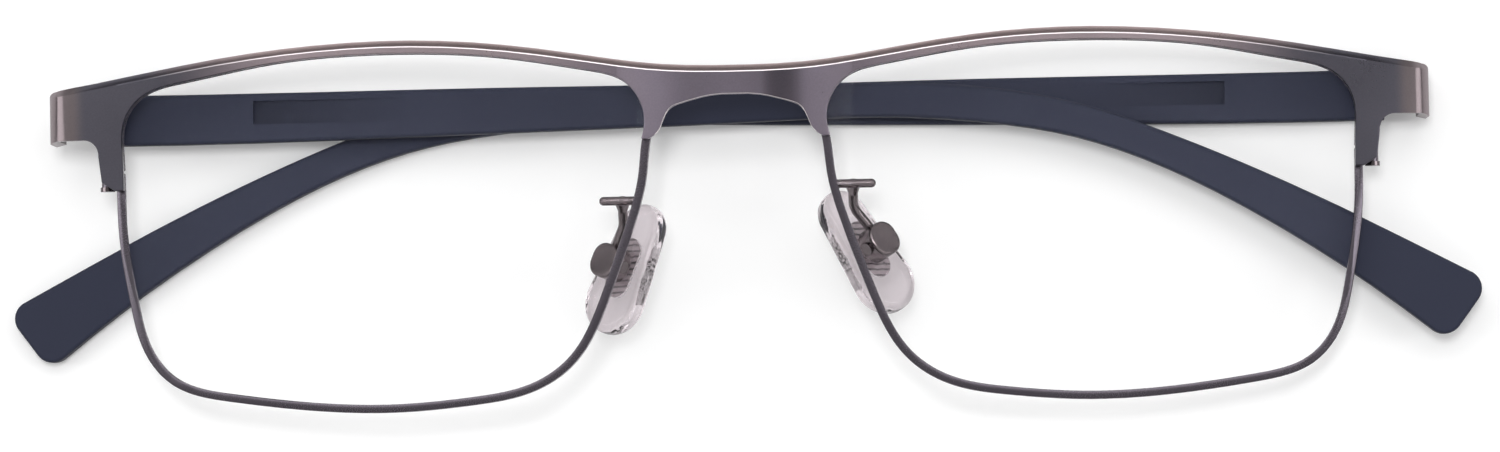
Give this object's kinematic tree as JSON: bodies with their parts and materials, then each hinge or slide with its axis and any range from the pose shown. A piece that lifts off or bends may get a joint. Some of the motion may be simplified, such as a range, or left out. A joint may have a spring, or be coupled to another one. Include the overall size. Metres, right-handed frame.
{
  "type": "eyeglasses",
  "caption": "Rectangular full-rim metal eyeglasses, folded, with clear lenses, slim temples and adjustable nose pads.",
  "frame": {"origin": "on the outer temple's flat outer face, beneath the middle of the bridge and level with the hinges' middle", "axes": "+X towards the wearer's left end of the front, +Y up the front, +Z out of the front, away from the folded temples"},
  "size_m": [0.1519, 0.0379, 0.016],
  "materials": {
    "frame_metal": "satin gunmetal",
    "hinge_metal": "satin gunmetal",
    "arm_metal": "polished dark metal",
    "screw_steel": "polished steel",
    "lens_clear": "clear, polished",
    "pad_silicone": "clear silicone",
    "core_plastic": "clear plastic",
    "temple_plastic": "matte navy"
  },
  "bodies": {
    "front": {"front_sheet": "frame_metal", "eyewire_left": "frame_metal", "lens_left": "lens_clear", "rim_lock_upper_left": "frame_metal", "rim_lock_lower_left": "frame_metal", "rim_lock_screw_left": "screw_steel", "pad_arm_left": "arm_metal", "pad_box_left": "arm_metal", "pad_pin_left": "screw_steel", "hinge_front_left": "hinge_metal", "hinge_screw_left": "screw_steel", "eyewire_right": "frame_metal", "lens_right": "lens_clear", "rim_lock_upper_right": "frame_metal", "rim_lock_lower_right": "frame_metal", "rim_lock_screw_right": "screw_steel", "pad_arm_right": "arm_metal", "pad_box_right": "arm_metal", "pad_pin_right": "screw_steel", "hinge_front_right": "hinge_metal", "hinge_screw_right": "screw_steel"},
    "temple_left": {"temple_left": "temple_plastic", "hinge_temple_left": "hinge_metal", "temple_screws_left": "screw_steel"},
    "pad_left": {"nose_pad_left": "pad_silicone", "pad_core_left": "core_plastic"},
    "temple_right": {"temple_right": "temple_plastic", "hinge_temple_right": "hinge_metal", "temple_screws_right": "screw_steel"},
    "pad_right": {"nose_pad_right": "pad_silicone", "pad_core_right": "core_plastic"}
  },
  "joints": [
    {"name": "temple_left_fold", "type": "hinge", "parent": "front", "child": "temple_left", "pos_m": [0.06788, 0, 0.00275], "axis": [0, -1, 0], "range_deg": [0, 88.75]},
    {"name": "temple_right_fold", "type": "hinge", "parent": "front", "child": "temple_right", "pos_m": [-0.06839, 0, 0.00572], "axis": [0, 1, 0], "range_deg": [0, 91.25]},
    {"name": "pad_left_rock", "type": "hinge", "parent": "front", "child": "pad_left", "pos_m": [0.01419, -0.01468, 0.00925], "axis": [0.6619, 0.4059, -0.6302], "range_deg": [-8, 8]},
    {"name": "pad_right_rock", "type": "hinge", "parent": "front", "child": "pad_right", "pos_m": [-0.01339, -0.01623, 0.00985], "axis": [-0.7439, 0.2952, -0.5996], "range_deg": [-8, 8]}
  ]
}
